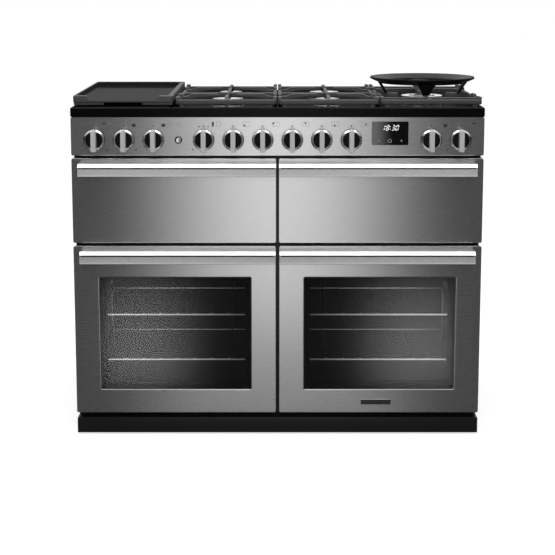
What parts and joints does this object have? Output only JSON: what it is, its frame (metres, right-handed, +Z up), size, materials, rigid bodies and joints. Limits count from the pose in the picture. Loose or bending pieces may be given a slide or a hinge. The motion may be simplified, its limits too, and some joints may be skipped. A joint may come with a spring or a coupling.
{
  "type": "dual fuel range cooker",
  "caption": "Wide free-standing range cooker with gas burners, a griddle over a hotplate zone, fan ovens, a grill compartment and a storage drawer.",
  "frame": {"origin": "on the floor under the middle of the cooker, half way between the handles' fronts and the back edge", "axes": "+X to the right seen from the front, +Y from the front to the back, +Z up; front faces -Y"},
  "size_m": [1.104, 0.648, 0.956],
  "materials": {
    "stainless": "brushed stainless steel",
    "bright_steel": "bright polished steel handles",
    "knob_steel": "satin steel knobs with a dark face",
    "hob_enamel": "gloss black enamel",
    "black_paint": "satin black paint",
    "oven_enamel": "dark grey vitreous enamel",
    "side_steel": "satin grey powder coat",
    "zinc_steel": "plain zinc coated sheet",
    "wire_chrome": "chromed wire",
    "element_sheath": "dark heated metal sheath",
    "fan_steel": "plain steel sheet",
    "burner_alloy": "satin cast alloy",
    "cast_iron": "matt black cast iron",
    "hotplate_glass": "black ceramic glass",
    "display_glass": "gloss black glass",
    "door_glass": "dark tinted glass",
    "gas_brass": "machined brass and plated pipe",
    "switch_plastic": "matt dark plastic",
    "roller_plastic": "hard nylon",
    "rear_metal": "satin paint"
  },
  "bodies": {
    "cooker": {"base_frame": "zinc_steel", "side_panels": "side_steel", "rear_panel": "zinc_steel", "plinth": "black_paint", "front_frame": "black_paint", "levelling_feet": "black_paint", "left_oven_liner": "oven_enamel", "right_oven_liner": "oven_enamel", "grill_chamber": "oven_enamel", "drawer_chamber": "zinc_steel", "shelf_racks": "wire_chrome", "fan_covers": "oven_enamel", "fan_motors": "zinc_steel", "heating_elements": "element_sheath", "hob_top": "hob_enamel", "burner_bases": "burner_alloy", "burner_caps": "hob_enamel", "hotplate": "hotplate_glass", "control_panel": "stainless", "display_glass": "display_glass", "gas_taps": "gas_brass", "control_switches": "switch_plastic", "hinge_brackets": "black_paint", "rear_fittings": "rear_metal"},
    "rollers": {"rear_rollers": "roller_plastic"},
    "left_oven_door": {"left_door_panel": "stainless", "left_door_glass": "door_glass", "left_door_liner": "oven_enamel", "left_door_handle": "bright_steel"},
    "right_oven_door": {"right_door_panel": "stainless", "right_door_glass": "door_glass", "right_door_liner": "oven_enamel", "right_door_handle": "bright_steel"},
    "grill_door": {"grill_door_panel": "stainless", "grill_door_handle": "bright_steel"},
    "drawer": {"drawer_front": "stainless", "drawer_handle": "bright_steel", "drawer_box": "zinc_steel"},
    "left_fan": {"left_fan": "fan_steel"},
    "right_fan": {"right_fan": "fan_steel"},
    "left_shelves": {"left_shelves": "wire_chrome"},
    "right_shelves": {"right_shelves": "wire_chrome"},
    "grill_pan": {"grill_pan": "oven_enamel"},
    "griddle": {"griddle": "cast_iron"},
    "left_pan_support": {"left_pan_support": "cast_iron"},
    "centre_pan_support": {"centre_pan_support": "cast_iron"},
    "right_pan_support": {"right_pan_support": "cast_iron"},
    "wok_cradle": {"wok_cradle": "cast_iron"},
    "grill_knob": {"grill_knob": "knob_steel"},
    "left_function_knob": {"left_function_knob": "knob_steel"},
    "left_oven_knob": {"left_oven_knob": "knob_steel"},
    "hotplate_knob": {"hotplate_knob": "knob_steel"},
    "gas_knob_1": {"gas_knob_1": "knob_steel"},
    "gas_knob_2": {"gas_knob_2": "knob_steel"},
    "gas_knob_3": {"gas_knob_3": "knob_steel"},
    "gas_knob_4": {"gas_knob_4": "knob_steel"},
    "gas_knob_5": {"gas_knob_5": "knob_steel"},
    "right_oven_knob": {"right_oven_knob": "knob_steel"},
    "right_function_knob": {"right_function_knob": "knob_steel"},
    "ignition_button": {"ignition_button": "knob_steel"}
  },
  "joints": [
    {"name": "left_oven_door_hinge", "type": "hinge", "parent": "cooker", "child": "left_oven_door", "pos_m": [-0.532, -0.268, 0.29], "axis": [0, 0, 1], "range_deg": [-105, 0]},
    {"name": "right_oven_door_hinge", "type": "hinge", "parent": "cooker", "child": "right_oven_door", "pos_m": [0.532, -0.268, 0.29], "axis": [0, 0, 1], "range_deg": [0, 105]},
    {"name": "grill_door_hinge", "type": "hinge", "parent": "cooker", "child": "grill_door", "pos_m": [-0.2745, -0.272, 0.542], "axis": [1, 0, 0], "range_deg": [0, 90]},
    {"name": "drawer_slide", "type": "slide", "parent": "cooker", "child": "drawer", "axis": [0, -1, 0], "range_m": [0, 0.36]},
    {"name": "left_shelves_slide", "type": "slide", "parent": "cooker", "child": "left_shelves", "axis": [0, -1, 0], "range_m": [0, 0.022]},
    {"name": "right_shelves_slide", "type": "slide", "parent": "cooker", "child": "right_shelves", "axis": [0, -1, 0], "range_m": [0, 0.022]},
    {"name": "grill_pan_slide", "type": "slide", "parent": "cooker", "child": "grill_pan", "axis": [0, -1, 0], "range_m": [0, 0.018]},
    {"name": "left_fan_spin", "type": "hinge", "parent": "cooker", "child": "left_fan", "pos_m": [-0.275, 0.17, 0.285], "axis": [0, 1, 0], "continuous": true},
    {"name": "right_fan_spin", "type": "hinge", "parent": "cooker", "child": "right_fan", "pos_m": [0.275, 0.17, 0.285], "axis": [0, 1, 0], "continuous": true},
    {"name": "rear_rollers_spin", "type": "hinge", "parent": "cooker", "child": "rollers", "pos_m": [0, 0.2428, 0.017], "axis": [1, 0, 0], "continuous": true},
    {"name": "griddle_lift", "type": "slide", "parent": "cooker", "child": "griddle", "axis": [0, 0, 1], "range_m": [0, 0.15]},
    {"name": "left_pan_support_lift", "type": "slide", "parent": "cooker", "child": "left_pan_support", "axis": [0, 0, 1], "range_m": [0, 0.15]},
    {"name": "centre_pan_support_lift", "type": "slide", "parent": "cooker", "child": "centre_pan_support", "axis": [0, 0, 1], "range_m": [0, 0.028]},
    {"name": "right_pan_support_lift", "type": "slide", "parent": "cooker", "child": "right_pan_support", "axis": [0, 0, 1], "range_m": [0, 0.15]},
    {"name": "wok_cradle_lift", "type": "slide", "parent": "right_pan_support", "child": "wok_cradle", "axis": [0, 0, 1], "range_m": [0, 0.15]},
    {"name": "grill_knob_turn", "type": "hinge", "parent": "cooker", "child": "grill_knob", "pos_m": [-0.484, -0.29, 0.807], "axis": [0, 1, 0], "range_deg": [0, 270]},
    {"name": "left_function_knob_turn", "type": "hinge", "parent": "cooker", "child": "left_function_knob", "pos_m": [-0.406, -0.29, 0.807], "axis": [0, 1, 0], "range_deg": [0, 315]},
    {"name": "left_oven_knob_turn", "type": "hinge", "parent": "cooker", "child": "left_oven_knob", "pos_m": [-0.328, -0.29, 0.807], "axis": [0, 1, 0], "range_deg": [0, 270]},
    {"name": "hotplate_knob_turn", "type": "hinge", "parent": "cooker", "child": "hotplate_knob", "pos_m": [-0.195, -0.29, 0.807], "axis": [0, 1, 0], "range_deg": [0, 270]},
    {"name": "gas_knob_1_turn", "type": "hinge", "parent": "cooker", "child": "gas_knob_1", "pos_m": [-0.117, -0.29, 0.807], "axis": [0, 1, 0], "range_deg": [-210, 0]},
    {"name": "gas_knob_2_turn", "type": "hinge", "parent": "cooker", "child": "gas_knob_2", "pos_m": [-0.039, -0.29, 0.807], "axis": [0, 1, 0], "range_deg": [-210, 0]},
    {"name": "gas_knob_3_turn", "type": "hinge", "parent": "cooker", "child": "gas_knob_3", "pos_m": [0.039, -0.29, 0.807], "axis": [0, 1, 0], "range_deg": [-210, 0]},
    {"name": "gas_knob_4_turn", "type": "hinge", "parent": "cooker", "child": "gas_knob_4", "pos_m": [0.117, -0.29, 0.807], "axis": [0, 1, 0], "range_deg": [-210, 0]},
    {"name": "gas_knob_5_turn", "type": "hinge", "parent": "cooker", "child": "gas_knob_5", "pos_m": [0.195, -0.29, 0.807], "axis": [0, 1, 0], "range_deg": [-210, 0]},
    {"name": "right_oven_knob_turn", "type": "hinge", "parent": "cooker", "child": "right_oven_knob", "pos_m": [0.406, -0.29, 0.807], "axis": [0, 1, 0], "range_deg": [0, 270]},
    {"name": "right_function_knob_turn", "type": "hinge", "parent": "cooker", "child": "right_function_knob", "pos_m": [0.484, -0.29, 0.807], "axis": [0, 1, 0], "range_deg": [0, 315]},
    {"name": "ignition_button_press", "type": "slide", "parent": "cooker", "child": "ignition_button", "axis": [0, 1, 0], "range_m": [0, 0.0035], "stiffness_N_per_m": 500, "springref_m": -0.001}
  ]
}
